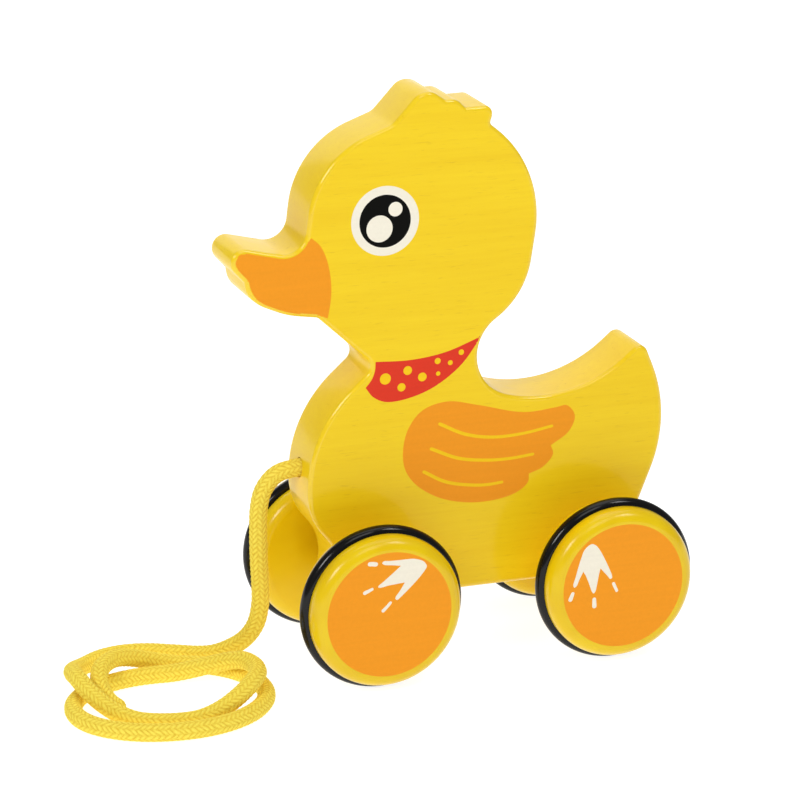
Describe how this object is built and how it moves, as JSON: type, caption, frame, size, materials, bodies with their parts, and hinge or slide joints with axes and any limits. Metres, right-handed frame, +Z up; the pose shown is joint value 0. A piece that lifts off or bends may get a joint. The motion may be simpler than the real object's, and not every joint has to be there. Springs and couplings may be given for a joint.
{
  "type": "pull-along toy duck",
  "caption": "Wooden pull-along duck cut from a thick painted board, on rolling wheels with rubber ring tyres, with a braided pull cord lying coiled in front.",
  "frame": {"origin": "on the floor, midway between the bill's tip and the back of the rear tyres, in the board's middle plane", "axes": "+Z up, the duck faces -X, +Y from the board's middle plane to the duck's right side"},
  "size_m": [0.2155, 0.094, 0.1928],
  "materials": {
    "body_paint": "satin",
    "wheel_paint": "gloss",
    "bare_wood": "matte",
    "tyre_rubber": "satin",
    "cord": "matte"
  },
  "bodies": {
    "duck": {"duck_body": "body_paint", "pull_cord_drop": "cord", "pull_cord_coil": "cord"},
    "front_wheelset": {"front_axle": "bare_wood", "front_left_wheel": "wheel_paint", "front_right_wheel": "wheel_paint", "front_left_tyre": "tyre_rubber", "front_right_tyre": "tyre_rubber", "front_left_collar": "wheel_paint", "front_right_collar": "wheel_paint"},
    "rear_wheelset": {"rear_axle": "bare_wood", "rear_left_wheel": "wheel_paint", "rear_right_wheel": "wheel_paint", "rear_left_tyre": "tyre_rubber", "rear_right_tyre": "tyre_rubber", "rear_left_collar": "wheel_paint", "rear_right_collar": "wheel_paint"}
  },
  "joints": [
    {"name": "front_wheels_spin", "type": "hinge", "parent": "duck", "child": "front_wheelset", "pos_m": [-0.0328, 0, 0.0278], "axis": [0, 1, 0], "continuous": true},
    {"name": "rear_wheels_spin", "type": "hinge", "parent": "duck", "child": "rear_wheelset", "pos_m": [0.0492, 0, 0.0278], "axis": [0, 1, 0], "continuous": true}
  ]
}
